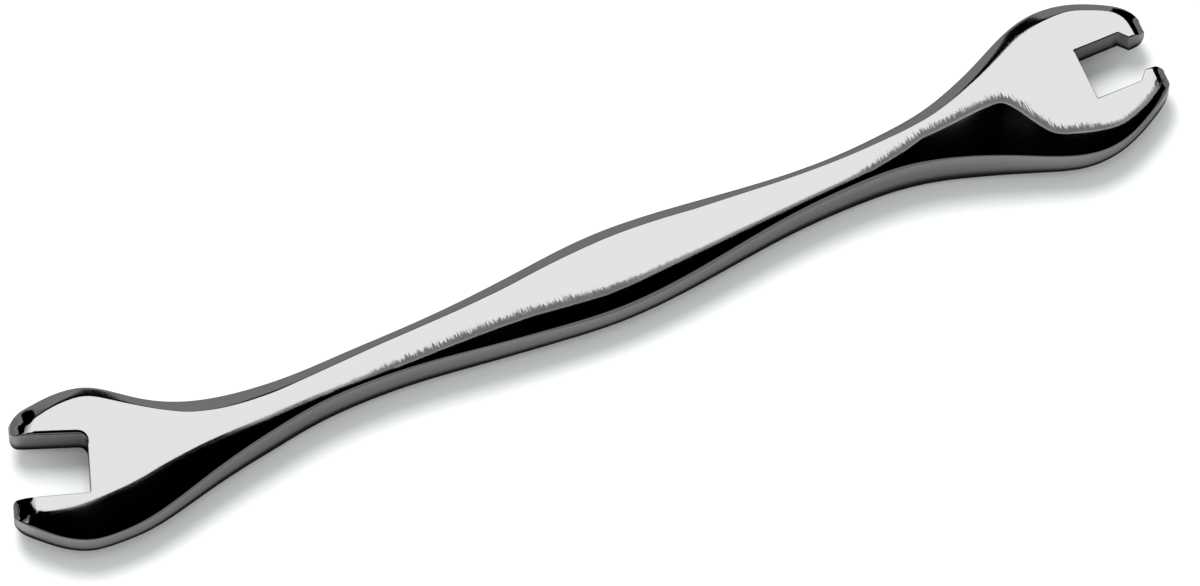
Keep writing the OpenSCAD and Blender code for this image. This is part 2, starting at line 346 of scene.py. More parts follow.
FRONT_RIDGE = tuple(
    RidgePoint(*row)
    for row in (
        (-63.36, -1.11, 0.08), (-62.36, -1.25, 0.08), (-60.36, -1.62, 0.08), (-58.36, -1.74, 0.08),
        (-56.37, -1.8, 0.08), (-54.39, -1.81, 0.08), (-52.42, -1.65, 0.08), (-50.44, -1.36, 0.08),
        (-48.46, -1.19, 0.08), (-45.49, -0.97, 0.08), (-42.51, -0.9, 0.08), (-39.53, -0.87, 0.08),
        (-36.53, -0.84, 0.08), (-32.51, -0.76, 0.08), (-28.49, -0.8, 0.08), (-24.48, -0.84, 0.08),
        (-20.48, -0.88, 0.12), (-16.47, -0.91, 0.17), (-12.46, -0.99, 0.19), (-8.45, -1.19, 0.22),
        (-4.43, -1.69, 0.22), (-0.42, -2.13, 0.17), (3.58, -2.1, 0.12), (7.57, -1.87, 0.09),
        (11.55, -1.73, 0.08), (15.53, -1.51, 0.08), (19.51, -1.39, 0.08), (23.5, -1.19, 0.08),
        (27.47, -1.05, 0.08), (30.45, -0.86, 0.08), (32.44, -0.57, 0.1), (34.43, -0.24, 0.14),
        (36.42, 0.3, 0.14), (38.41, 0.35, 0.17), (40.41, 0.53, 0.19), (42.43, 0.74, 0.2),
        (44.46, 0.87, 0.16), (45.48, 0.87, 0.16), (46.19, 0.62, 0.16), (46.81, 0.01, 0.16),
        (47.53, -1.11, 0.16), (48.15, -2.21, 0.16), (48.76, -3.28, 0.16), (49.58, -4.48, 0.15),
        (50.6, -5.02, 0.16), (51.62, -5.29, 0.16), (52.65, -5.59, 0.16), (53.67, -5.86, 0.16),
        (54.68, -6.03, 0.15), (55.7, -6.18, 0.12), (56.7, -6.14, 0.08), (57.71, -5.89, 0.08),
        (58.71, -5.54, 0.08), (59.7, -5.14, 0.08), (61.71, -3.97, 0.08), (62.97, -3.12, 0.08),
    )
)


@dataclass
class ForgingLine:
    """The smooth run of cross sections from the tip of the open jaw to the tip of the hooked jaw.

    The section through a plan point is searched for from a grid of guesses, in rounds of small steps.
    """

    stations: tuple[Station, ...] = STATIONS
    ridges: tuple[Ridge, Ridge] = field(
        default_factory=lambda: (Ridge(BACK_RIDGE, 1, easing=0.9), Ridge(FRONT_RIDGE, -1))
    )
    guesses: int = 8
    guess_bias: float = 0.02
    probe: float = 1e-4
    rounds: int = 5
    longest_step: float = 0.5
    flattest: float = 1e-6
    share_limit: float = 1.02
    slope_reach: float = 2e-3
    controls: np.ndarray = field(init=False)

    def __post_init__(self) -> None:
        """Set out the control rows, with one mirrored row past each end."""
        rows = np.array([astuple(s) for s in self.stations])
        rows[:, 2] = np.radians(rows[:, 2])
        self.controls = np.vstack([2 * rows[0] - rows[1], rows, 2 * rows[-1] - rows[-2]])

    @property
    def last(self) -> int:
        """Number of the last station."""
        return len(self.stations) - 1

    def ribs(self, t: np.ndarray) -> Station:
        """Blend the stations smoothly.

        Args:
            t: Places along the line, from 0 at the open jaw to the last station's number.

        Returns:
            The cross sections there.
        """
        i = np.clip(np.floor(t).astype(int), 0, self.last - 1)
        f = (np.clip(t, 0, self.last) - i)[:, None]
        c = self.controls
        rows = (
            (1 - f) ** 3 * c[i]
            + (3 * f**3 - 6 * f**2 + 4) * c[i + 1]
            + (-3 * f**3 + 3 * f**2 + 3 * f + 1) * c[i + 2]
            + f**3 * c[i + 3]
        ) / 6
        return Station(*rows.T)

    def ahead(self, points: np.ndarray, t: np.ndarray) -> tuple[np.ndarray, np.ndarray]:
        """Measure points against the ribs at t.

        Args:
            points: Plan points, one row each.
            t: The rib that each point is measured against.

        Returns:
            How far each point lies past its rib along the line, and how far across it.
        """
        rib = self.ribs(t)
        dx, dy = points[:, 0] - rib.x, points[:, 1] - rib.y
        s, c = np.sin(rib.turn), np.cos(rib.turn)
        return dx * c - dy * s, dx * s + dy * c

    def locate(self, points: np.ndarray, start: np.ndarray | None = None) -> np.ndarray:
        """Find the rib that passes through each plan point.

        Args:
            points: Plan points, one row each.
            start: First guess for each point, when one is known.

        Returns:
            The place along the line of each point's rib.
        """
        if start is None:
            grid = np.linspace(0, self.last, self.last * self.guesses + 1)
            rib = self.ribs(grid)
            s, c = np.sin(rib.turn), np.cos(rib.turn)
            start = np.empty(len(points))
            for part in batches(len(points)):
                dx = points[part, 0][:, None] - rib.x
                dy = points[part, 1][:, None] - rib.y
                along = dx * c - dy * s
                near = np.abs(along) + self.guess_bias * np.abs(dx * s + dy * c)
                start[part] = grid[np.argmin(near, axis=1)]
        t = start.copy()
        for _ in range(self.rounds):
            here, _ = self.ahead(points, t)
            there, _ = self.ahead(points, t + self.probe)
            slope = (there - here) / self.probe
            step = here / np.where(np.abs(slope) < self.flattest, -1.0, slope)
            t = np.clip(t - np.clip(step, -self.longest_step, self.longest_step), 0, self.last - self.probe)
        return t

    def crown(
        self, points: np.ndarray, depths: tuple[np.ndarray, ...], start: np.ndarray | None = None
    ) -> tuple[np.ndarray, np.ndarray]:
        """Height of the crowned face over plan points, before its edges are rounded.

        Args:
            points: Plan points, one row each.
            depths: Depth of each ridge's facet at the points.
            start: First guess of each point's rib.

        Returns:
            The heights, and the ribs that the points lie on.
        """
        t = self.locate(points, start)
        _, across = self.ahead(points, t)
        rib = self.ribs(t)
        share = np.minimum(np.abs(across) / rib.half_width, self.share_limit)
        back = across > 0
        drop = np.where(back, rib.back_drop, rib.front_drop)
        height = rib.crest - drop * share ** np.where(back, rib.back_power, rib.front_power)
        return height - rib.back_fall * depths[0] - rib.front_fall * depths[1], t

    def face(self, points: np.ndarray) -> tuple[np.ndarray, np.ndarray]:
        """Height and slope of the crowned face over plan points, before its edges are rounded.

        Args:
            points: Plan points, one row each.

        Returns:
            The heights, and two slopes per point.
        """
        (back, back_slope), (front, front_slope) = (ridge.depth(points) for ridge in self.ridges)
        height, t = self.crown(points, (back, front))
        slopes = []
        for axis in np.eye(2) * self.slope_reach:
            ahead, _ = self.crown(points + axis, (back, front), t)
            behind, _ = self.crown(points - axis, (back, front), t)
            slopes.append((ahead - behind) / (2 * self.slope_reach))
        rib = self.ribs(t)
        falls = rib.back_fall[:, None] * back_slope, rib.front_fall[:, None] * front_slope
        return height, np.stack(slopes, 1) - falls[0] - falls[1]


@dataclass(frozen=True)
class JawCorner:
    """A corner of a jaw's outline: its place, the radius in plan, and the rounding of the edge there.

    The run that follows has its own rounding where it is given.
    """

    along: float
    across: float
    radius: float
    edge: float
    run_edge: float | None = None


@dataclass(frozen=True)
class PathPoint:
    """A point of the outline before its corner is rounded, and what the straight run after it is."""

    place: np.ndarray
    radius: float
    edge: float
    kind: EdgeKind
    run_edge: float = 0.0
    run_kind: EdgeKind | None = None


@dataclass
class Boundary:
    """The closed plan outline: places, outward normals, edge rounding and kind of each point.

    A point's kind also holds for the run from it to the next point.
    """

    places: np.ndarray
    normals: np.ndarray
    edge: np.ndarray
    kind: np.ndarray
    touching: float = 1e-5

    def nearest(self, points: np.ndarray, kind: EdgeKind | None = None) -> tuple[np.ndarray, np.ndarray, np.ndarray]:
        """Distance of each point to the outline, or to the runs of one kind.

        Args:
            points: Plan points.
            kind: The kind of the runs that count, or None for all.

        Returns:
            Distance, inward direction and edge rounding at the nearest place of the outline.
        """
        use = slice(None) if kind is None else self.kind == kind.value
        start = self.places[use]
        run = (np.roll(self.places, -1, 0) - self.places)[use]
        outward, edges = self.normals[use], self.edge[use]
        length2 = (run**2).sum(1)
        distance, inward, edge = np.empty(len(points)), np.empty((len(points), 2)), np.empty(len(points))
        for part in batches(len(points)):
            p = points[part]
            f = np.clip(((p[:, None] - start) * run).sum(2) / length2, 0, 1)
            gap = p[:, None] - (start + f[..., None] * run)
            d = np.sqrt((gap**2).sum(2))
            k = np.argmin(d, axis=1)
            rows = np.arange(len(part))
            near = d[rows, k]
            distance[part] = near
            away = gap[rows, k] / np.maximum(near, NOT_ZERO)[:, None]
            inward[part] = np.where(near[:, None] > self.touching, away, -outward[k])
            edge[part] = edges[k]
        return distance, inward, edge

    def inside(self, points: np.ndarray) -> np.ndarray:
        """Tell which points lie inside the outline, by counting crossings.

        Args:
            points: Plan points.

        Returns:
            True for each point inside.
        """
        a, b = self.places, np.roll(self.places, -1, 0)
        rise = np.where(b[:, 1] == a[:, 1], 1.0, b[:, 1] - a[:, 1])
        odd = np.zeros(len(points), bool)
        for part in batches(len(points)):
            x, y = points[part, 0][:, None], points[part, 1][:, None]
            cross = (a[:, 1] > y) != (b[:, 1] > y)
            at = a[:, 0] + (y - a[:, 1]) * (b[:, 0] - a[:, 0]) / rise
            odd[part] = (cross & (x < at)).sum(1) % 2 == 1
        return odd


@dataclass
class OpenJaw:
    """The turned jaw: two flats that lean out a little, a floor, and one rounded inner corner."""

    pivot: float = -51.0
    turn: float = math.radians(20.25)
    gap: float = 6.65
    floor: float = 6.41
    lean: float = math.tan(math.radians(1.65))
    back_fillet: float = 1.0
    front_fillet: float = 0.16
    back_mouth: float = 0.9
    front_mouth: float = 0.5
    tip_edge: float = 2.8
    back_edge: float = 0.36
    front_edge: float = 0.1
    floor_edge: float = 0.07

    def place(self, along: float, across: float) -> tuple[float, float]:
        """Put a point of the jaw's own frame into the wrench's frame.

        Args:
            along: How far out of the mouth it lies.
            across: How far to the back it lies.

        Returns:
            Its X and Y.
        """
        a = math.pi - self.turn
        return (
            self.pivot + along * math.cos(a) + across * math.sin(a),
            along * math.sin(a) - across * math.cos(a),
        )

    def corners(self, tip: float) -> list[JawCorner]:
        """List the corners from the mouth's front side, round the floor, to the mouth's back side.

        Args:
            tip: How far out the prongs' tips lie.

        Returns:
            The corners, in the jaw's own frame.
        """
        half = self.gap / 2
        wide = half + (tip - self.floor) * self.lean
        return [
            JawCorner(tip, -wide, self.front_mouth, self.front_edge),
            JawCorner(self.floor, -half, self.front_fillet, self.floor_edge),
            JawCorner(self.floor, half, self.back_fillet, self.back_edge, self.floor_edge),
            JawCorner(tip, wide, self.back_mouth, self.back_edge),
        ]


@dataclass
class HookedJaw:
    """The four-flat jaw: a floor, two long flats, and two hooks whose slanted flats close on a nipple."""

    gap: float = 5.9
    floor: float = 55.32
    root: float = 60.32
    throat_start: float = 61.17
    throat: float = 3.95
    lead: float = 0.75
    lead_slope: float = 0.5
    radii: tuple[float, ...] = (0.35, 0.5, 0.15, 0.2, 0.12)
    offset: float = 0.1
    tip_edge: float = 1.4
    edge: float = 0.07

    def corners(self, tip: float) -> list[JawCorner]:
        """List the corners from the throat's back side, round the floor, to the throat's front side.

        Args:
            tip: X of the hooks' tips.

        Returns:
            The corners, measured from the jaw's middle line.
        """
        half, narrow = self.gap / 2, self.throat / 2
        side = [
            (tip, narrow + self.lead_slope * self.lead),
            (tip - self.lead, narrow),
            (self.throat_start, narrow),
            (self.root, half),
            (self.floor, half),
        ]
        back = [JawCorner(x, y, radius, self.edge) for (x, y), radius in zip(side, self.radii)]
        return back + [replace(c, across=-c.across) for c in reversed(back)]


@dataclass
class ForgedBody:
    """The whole wrench, as a dense skin with true roundings along every edge.

    The plan's points are the outline, rows of points that follow the outline and both ridges, and an even field
    between them. Gaps keep the rows and the field apart.
    """

    line: ForgingLine = field(default_factory=ForgingLine)
    open_jaw: OpenJaw = field(default_factory=OpenJaw)
    hooked_jaw: HookedJaw = field(default_factory=HookedJaw)
    rim_density: int = 40
    rim_spacing: float = 0.26
    longest_gap: float = 1.6
    face_spacing: float = 0.32
    face_gap: float = 0.4
    tip_round: float = 0.5
    row_angles: tuple[float, ...] = (70.0, 50.0, 30.0, 10.0)
    row_margin: float = 0.12
    row_reach: float = 0.5
    row_held: float = 0.97
    ridge_rows: tuple[float, ...] = (-4.0, -2.2, -1.0, 0.0, 1.0, 2.2, 4.0)
    ridge_step: int = 4
    ridge_gap: float = 0.1
    arc_step: float = math.radians(15)
    corner_share: float = 0.48
    corner_clearance: float = 1.2
    tip_flatness: float = 0.6
    lower_edge: float = 0.65
    undercut: float = math.tan(math.radians(14.0))
    least_height: float = 0.2
    same_height: float = 1e-5
    steepest_sine: float = 0.99999
    blend: int = 3
    origin_from_corner: tuple[float, float] = (63.17, 10.906)

    def rim_side(self, side: int) -> tuple[np.ndarray, np.ndarray]:
        """The long edge on one side of the forging, from the open jaw's tip to the hooked jaw's tip.

        Args:
            side: 1 for the back edge and -1 for the front edge.

        Returns:
            Evenly spaced plan points, and the edge's rounding at each.
        """
        t = np.linspace(0, self.line.last, self.line.last * self.rim_density + 1)
        rib = self.line.ribs(t)
        reach = side * rib.half_width
        points = np.stack([rib.x + reach * np.sin(rib.turn), rib.y + reach * np.cos(rib.turn)], 1)
        run = run_lengths(points)
        spread = self.respaced(points, self.rim_spacing)
        stops = np.linspace(0, run[-1], len(spread))
        return spread, np.interp(stops, run, rib.back_round if side > 0 else rib.front_round)

    @staticmethod
    def respaced(points: np.ndarray, spacing: float) -> np.ndarray:
        """Spread points evenly along a line through the given ones, keeping both ends.

        Args:
            points: The points that the line runs through.
            spacing: About how far apart the new ones lie.

        Returns:
            The new points.
        """
        run = run_lengths(points)
        stops = np.linspace(0, run[-1], max(2, int(round(run[-1] / spacing)) + 1))
        return np.stack([np.interp(stops, run, points[:, k]) for k in (0, 1)], 1)

    def arc(self, before: np.ndarray, corner: np.ndarray, after: np.ndarray, radius: float) -> np.ndarray:
        """Round a corner of the plan.

        Args:
            before: The point that the outline comes from.
            corner: The sharp corner.
            after: The point that the outline goes to.
            radius: Radius of the rounding.

        Returns:
            Points of the arc, from one tangent point to the other.
        """
        u, v = before - corner, after - corner
        lu, lv = np.linalg.norm(u), np.linalg.norm(v)
        u, v = u / lu, v / lv
        half = math.acos(max(-1.0, min(1.0, float(u @ v)))) / 2
        reach = min(radius / math.tan(half), self.corner_share * lu, self.corner_share * lv)
        radius = reach * math.tan(half)
        middle = corner + (u + v) / np.linalg.norm(u + v) * radius / math.sin(half)
        start, end = corner + u * reach - middle, corner + v * reach - middle
        sweep = math.pi - 2 * half
        count = max(3, int(math.ceil(sweep / self.arc_step)))
        whole = max(math.sin(sweep), NOT_ZERO)
        shares = [k / count for k in range(count + 1)]
        return np.array(
            [middle + (start * math.sin((1 - f) * sweep) + end * math.sin(f * sweep)) / whole for f in shares]
        )

    def outline(self) -> Boundary:
        """Trace the plan's closed outline: front edge, hooked jaw, back edge, open jaw.

        Returns:
            The outline, with its corners rounded.
        """
        (front, front_edge), (back, back_edge) = self.rim_side(-1), self.rim_side(1)
        open_jaw, hooked = self.open_jaw, self.hooked_jaw
        ends = self.line.ribs(np.array([0.0, float(self.line.last)]))
        a = math.pi - open_jaw.turn
        open_tip = (ends.x[0] - open_jaw.pivot) * math.cos(a) + ends.y[0] * math.sin(a)
        hook_tip = float(ends.x[1])
        rim, tip, jaw = EdgeKind.RIM, EdgeKind.TIP, EdgeKind.JAW
        path = [PathPoint(p, 0.0, e, rim) for p, e in zip(front[1:-1], front_edge[1:-1])]
        path.append(PathPoint(front[-1], self.tip_round, hooked.tip_edge, tip))
        for c in reversed(hooked.corners(hook_tip)):
            path.append(PathPoint(np.array([c.along, c.across + hooked.offset]), c.radius, c.edge, jaw))
        path[-1] = replace(path[-1], run_edge=hooked.tip_edge, run_kind=tip)
        path.append(PathPoint(back[-1], self.tip_round, float(back_edge[-1]), rim))
        path += [PathPoint(p, 0.0, e, rim) for p, e in zip(back[-2:0:-1], back_edge[-2:0:-1])]
        path.append(PathPoint(back[0], self.tip_round, open_jaw.tip_edge, tip))
        for c in reversed(open_jaw.corners(open_tip)):
            path.append(PathPoint(np.array(open_jaw.place(c.along, c.across)), c.radius, c.edge, jaw))
            if c.run_edge is not None:
                path[-1] = replace(path[-1], run_edge=c.run_edge, run_kind=jaw)
        path[-1] = replace(path[-1], run_edge=open_jaw.tip_edge, run_kind=tip)
        path.append(PathPoint(front[0], self.tip_round, float(front_edge[0]), rim))
        return self.smoothed(path)

    def smoothed(self, path: list[PathPoint]) -> Boundary:
        """Round the path's corners and space its straight runs evenly.

        Args:
            path: The outline's points, in order.

        Returns:
            The finished boundary.
        """
        skip: set[int] = set()
        for k, p in enumerate(path):  # a corner's rounding swallows the smooth points near it
            clearance = self.corner_clearance * p.radius
            for step in (-1, 1):
                j = (k + step) % len(path)
                while path[j].radius == 0 and np.linalg.norm(path[j].place - p.place) < clearance:
                    skip.add(j)
                    j = (j + step) % len(path)
        kept = [p for k, p in enumerate(path) if k not in skip]
        places: list[np.ndarray] = []
        edges: list[float] = []
        kinds: list[int] = []
        for k, p in enumerate(kept):
            rows = p.place[None]
            if p.radius > 0:
                rows = self.arc(kept[k - 1].place, p.place, kept[(k + 1) % len(kept)].place, p.radius)
            blend = p.run_kind is p.kind
            edges.extend(np.linspace(p.edge, p.run_edge, len(rows)) if blend else [p.edge] * len(rows))
            kinds.extend([p.kind.value] * len(rows))
            places.extend(rows)
            run_edge, run_kind = p.edge, p.kind.value
            if p.run_kind is not None:
                run_edge, run_kind = p.run_edge, p.run_kind.value
                edges[-1], kinds[-1] = run_edge, run_kind
            after = kept[(k + 1) % len(kept)]
            target = after.place
            if after.radius > 0:
                target = self.arc(p.place, after.place, kept[(k + 2) % len(kept)].place, after.radius)[0]
            if np.linalg.norm(target - places[-1]) > self.longest_gap * self.rim_spacing:
                run = self.respaced(np.array([places[-1], target]), self.rim_spacing)[1:-1]
                places.extend(run)
                edges.extend([run_edge] * len(run))
                kinds.extend([run_kind] * len(run))
        around = np.array(places)
        ahead, behind = np.roll(around, -1, 0) - around, around - np.roll(around, 1, 0)
        la, lb = np.linalg.norm(ahead, axis=1)[:, None], np.linalg.norm(behind, axis=1)[:, None]
        tangent = unit(ahead / la * lb + behind / lb * la)
        normals = np.stack([tangent[:, 1], -tangent[:, 0]], 1)
        return Boundary(around, normals, np.array(edges), np.array(kinds))

    def plan_points(self, boundary: Boundary) -> np.ndarray:
        """Lay out the plan's points: the outline, rows along it for the rounding, and an even field inside.

        Args:
            boundary: The outline.

        Returns:
            Plan points. The outline's own points come first.
        """
        rows, offsets = [], []
        insets = [boundary.edge * (1 - math.sin(math.radians(a))) for a in self.row_angles]
        insets.append(boundary.edge + self.row_margin)
        for inset in insets:
            use = inset < self.row_reach
            rows.append((boundary.places - boundary.normals * inset[:, None])[use])
            offsets.append(inset[use])
        fringe, wanted = np.vstack(rows), np.concatenate(offsets)
        reached, _, _ = boundary.nearest(fringe)
        held = (reached > self.row_held * wanted) & boundary.inside(fringe)
        step = self.face_spacing
        low, high = boundary.places.min(0), boundary.places.max(0)
        gx, gy = np.meshgrid(np.arange(low[0], high[0], step), np.arange(low[1], high[1], step * math.sqrt(3) / 2))
        gx[1::2] += step / 2
        inner = np.stack([gx.ravel(), gy.ravel()], 1)
        inner = inner[boundary.inside(inner)]
        ridge_rows = []
        for ridge in self.line.ridges:
            for row in self.ridge_rows:
                offset = (row * ridge.softness)[:, None] * ridge.outward
                ridge_rows.append((ridge.places + offset)[:: self.ridge_step])
            past, _, soft = ridge.measure(inner)
            inner = inner[np.abs(past) > self.ridge_rows[-1] * soft + self.face_gap * step]
        along = np.vstack(ridge_rows)
        along = along[boundary.inside(along)]
        along = np.unique(np.round(along, 3), axis=0)
        kept = [boundary.places, fringe[held]]
        for rows, gap in ((inner, self.face_gap * step), (along, self.ridge_gap)):
            near, _, edge = boundary.nearest(rows)
            kept.append(rows[near > np.minimum(edge + self.row_margin, self.row_reach) + gap])
        return np.vstack(kept)

    def surface(self, points: np.ndarray, boundary: Boundary) -> tuple[np.ndarray, np.ndarray]:
        """Height and normal of the upper face, with every edge rounded over.

        Args:
            points: Plan points.
            boundary: The outline.

        Returns:
            The heights and the unit normals.
        """
        height, slope = self.line.face(points)
        drops, pulls = [], []
        for kind in EdgeKind:
            distance, inward, edge = boundary.nearest(points, kind)
            flatness = self.tip_flatness if kind is EdgeKind.TIP else 1.0
            sine = np.clip((edge - distance) / edge, 0, self.steepest_sine)
            cosine = np.sqrt(1 - sine**2)
            drops.append(flatness * edge * (1 - cosine))
            pulls.append(inward * (flatness * sine / cosine)[:, None])
        total = np.maximum(sum(d**self.blend for d in drops) ** (1 / self.blend), NOT_ZERO)
        for drop, pull in zip(drops, pulls):
            slope = slope + pull * ((drop / total) ** (self.blend - 1))[:, None]
        return np.maximum(height - total, self.least_height), unit(np.column_stack([-slope, np.ones(len(points))]))

    def origin(self, low: Vector, high: Vector) -> Vector:
        """Where the wrench's own origin lies in the part's frame.

        Args:
            low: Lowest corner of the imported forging.
            high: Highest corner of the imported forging.

        Returns:
            The place, in metres.
        """
        x, y = self.origin_from_corner
        return Vector((high[0] - x * MM, high[1] - y * MM, (low[2] + high[2]) / 2))

    def build(self, low: Vector, high: Vector) -> bpy.types.Object:
        """Make the finished body in the part's frame.

        Args:
            low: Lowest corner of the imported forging.
            high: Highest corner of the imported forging.

        Returns:
            The body's object, at the origin.
        """
        boundary = self.outline()
        points = self.plan_points(boundary)
        height, normals = self.surface(points, boundary)
        rim = boundary.kind == EdgeKind.RIM.value
        rolled = np.where(rim, np.maximum(boundary.edge, self.lower_edge), boundary.edge)
        low_height, low_normals = self.surface(points, replace(boundary, edge=rolled))

        count = len(boundary.places)
        low_normals[:count] = np.column_stack([boundary.normals, np.full(count, self.undercut)])
        flat = [Vector(p) for p in points]
        made = delaunay_2d_cdt(flat, [], [list(range(count))], 1, SAME_PLACE)
        source = [ids[0] for ids in made[3]]
        faces = [tuple(source[v] for v in f) for f in made[2]]
        LOG.info("plan: %d points on the outline, %d in all, %d faces", count, len(points), len(faces))

        skin = np.column_stack([points, height])
        mesh = bpy.data.meshes.new("forged_body_polished")
        mesh.from_pydata([tuple(v) for v in skin], [], faces)
        mesh.attributes.new("plan_row", "INT", "POINT").data.foreach_set("value", np.arange(len(points)))
        past, _, _ = self.line.ridges[1].measure(points)
        mesh.attributes.new("past_ridge", "FLOAT", "POINT").data.foreach_set("value", past)
        body = add_object("forged_body_polished", mesh)
        for other in bpy.context.selected_objects:
            other.select_set(False)
        bpy.context.view_layer.objects.active = body
        body.select_set(True)

        # The outline is drawn down to the middle plane as the side wall, and the half is mirrored.
        bpy.ops.object.mode_set(mode="EDIT")
        bpy.ops.mesh.select_all(action="SELECT")
        bpy.ops.mesh.normals_make_consistent(inside=False)
        bpy.ops.mesh.select_all(action="DESELECT")
        bpy.ops.mesh.select_mode(type="EDGE")
        bpy.ops.mesh.select_non_manifold(
            extend=False, use_wire=False, use_boundary=True, use_multi_face=False, use_non_contiguous=False,
            use_verts=False,
        )
        bpy.ops.mesh.extrude_edges_move()
        bpy.ops.transform.resize(value=(1, 1, 0), center_override=(0, 0, 0))
        bpy.ops.object.mode_set(mode="OBJECT")

        mirror = body.modifiers.new("lower_half", "MIRROR")
        mirror.use_axis = (False, False, True)
        mirror.use_mirror_merge = True
        mirror.merge_threshold = self.same_height
        bpy.ops.object.modifier_apply(modifier=mirror.name)
        bpy.ops.object.mode_set(mode="EDIT")
        bpy.ops.mesh.select_all(action="SELECT")
        bpy.ops.mesh.normals_make_consistent(inside=False)
        bpy.ops.object.mode_set(mode="OBJECT")
        bpy.ops.object.shade_smooth()

        # The lower half gets its own rolled edge, and every vertex its true normal.
        co = np.empty(len(mesh.vertices) * 3, np.float32)
        mesh.vertices.foreach_get("co", co)
        co = co.reshape(-1, 3).astype(float)
        index = np.empty(len(co), np.int32)
        mesh.attributes["plan_row"].data.foreach_get("value", index)
        below = co[:, 2] < -self.same_height
        true = np.where(below[:, None], low_normals[index] * (1, 1, -1), normals[index])
        true[np.abs(co[:, 2]) < self.same_height, 2] = 0.0
        co[below, 2] = -low_height[index[below]]
        mesh.attributes.remove(mesh.attributes["plan_row"])
        co += np.array(self.origin(low, high)) / MM
        mesh.vertices.foreach_set("co", (co * MM).astype(np.float32).ravel())
        mesh.update()
        mesh.normals_split_custom_set_from_vertices(true.tolist())
        return body


@dataclass(frozen=True)
class ChromePlate:
    """Decorative chrome plate over a forging that was belt polished across, then buffed.

    Plate this thin keeps what is under it. The buffed face is a mirror with a slow ripple and a slight haze, so
    that it shows bright and black shapes whose edges tremble a little. Along the front ridge the buff left some of
    the brushed steel: a grey fringe that ends in bristles, which are drawn coarser than real marks so that they
    show. Lengths are in millimetres.
    """

    name: str = "chrome plate, buffed over cross-polished forging"
    colour: str = "b1b1b1"
    edge_tint: str = "e0e0e0"
    roughness: float = 0.03
    haze: float = 0.03
    mark_pitch: float = 0.11
    mark_length: float = 1.3
    mark_depth: float = 0.002
    ripple_pitch: float = 5.0
    ripple_depth: float = 0.0015
    ripple_range: tuple[float, float] = (0.3, 0.7)
    fringe: float = 1.05
    fringe_root: float = 0.15
    fringe_haze: float = 0.48
    fringe_fade: float = 0.4
    bristle_range: tuple[float, float] = (0.32, 0.68)
    inner_edge: tuple[float, float] = (0.2, 0.5)
    worn_range: tuple[float, float] = (0.1, 0.6)
    half_length: float = 65.0
    worn: tuple[tuple[float, float], ...] = (
        (-65.0, 0.15), (-45.0, 0.15), (-28.0, 0.3), (-21.0, 0.8), (-12.0, 1.0), (-2.0, 1.0), (5.0, 0.5), (12.0, 0.3),
        (29.0, 0.3), (34.0, 0.8), (38.0, 1.0), (54.0, 1.0), (58.0, 0.5), (65.0, 0.4),
    )

    def worn_share(self, tree: bpy.types.NodeTree, place: bpy.types.NodeSocket) -> bpy.types.NodeSocket:
        """How much of the brushed steel the buff left, along the handle.

        Args:
            tree: The material's node tree.
            place: The socket that gives the place on the wrench.

        Returns:
            The socket that gives the share, from 0 to 1.
        """
        half = self.half_length
        along = add_node(tree, "SeparateXYZ", {"Vector": place})
        share = add_node(tree, "MapRange", {"Value": along}, **ranges((-half * MM, half * MM)))
        ramp = add_node(tree, "ValToRGB", {"Fac": share})
        stops = ramp.color_ramp.elements
        ends = {-half: 0, half: -1}
        for x, amount in self.worn:
            at = (x + half) / (2 * half)
            stop = stops[ends[x]] if x in ends else stops.new(at)
            stop.position, stop.color = at, (amount, amount, amount, 1.0)
        return ramp.outputs["Color"]

    def build(self) -> bpy.types.Material:
        """Make the material's nodes.

        Returns:
            The material.
        """
        material, tree = blank_material(self.name)
        place = add_node(tree, "TexCoord").outputs["Object"]
        noises = []
        for pitches, detail, grain in (
            ((self.mark_pitch, self.mark_length, self.mark_length), 2.0, 0.6),
            ((self.ripple_pitch,) * 3, 1.0, 0.5),
        ):
            spread = add_node(tree, "Mapping", {"Vector": place}, Scale=tuple(1 / (pitch * MM) for pitch in pitches))
            noises.append(add_node(tree, "TexNoise", {"Vector": spread}, Scale=1.0, Detail=detail, Roughness=grain))
        marks, ripple = noises
        wave = add_node(tree, "Bump", {"Height": ripple}, Strength=1.0, Distance=self.ripple_depth * MM)
        fray = add_node(tree, "Bump", {"Height": marks, "Normal": wave}, Strength=1.0, Distance=self.mark_depth * MM)

        worn = self.worn_share(tree, place)
        past = add_node(tree, "Attribute", attribute_name="past_ridge").outputs["Fac"]
        lengths = ranges(self.bristle_range, (self.fringe_root * self.fringe, self.fringe))
        bristle = add_node(tree, "MapRange", {"Value": marks}, **lengths)
        reach = add_node(tree, "Math", {"0": bristle, "1": worn}, operation="MULTIPLY")
        spare = add_node(tree, "Math", {"0": reach, "1": past}, operation="ADD")
        outer = ranges((0.0, self.fringe_fade), (0.0, self.fringe_haze))
        brushed = add_node(tree, "MapRange", {"Value": spare}, **outer)
        for source, limit in ((past, ranges(self.inner_edge, (1.0, 0.0))), (worn, ranges(self.worn_range))):
            share = add_node(tree, "MapRange", {"Value": source}, **limit)
            brushed = add_node(tree, "Math", {"0": brushed, "1": share}, operation="MULTIPLY")
        mirror = ranges(self.ripple_range, (self.roughness, self.roughness + self.haze))
        haze = add_node(tree, "MapRange", {"Value": ripple}, **mirror)
        rough = add_node(tree, "Math", {"0": haze, "1": brushed}, operation="ADD")
        metal = add_node(
            tree, "BsdfPrincipled", {"Roughness": rough, "Normal": fray},
            Base_Color=linear(self.colour), Metallic=1.0, Specular_Tint=linear(self.edge_tint),
        )
        add_node(tree, "OutputMaterial", {"Surface": metal})
        return material


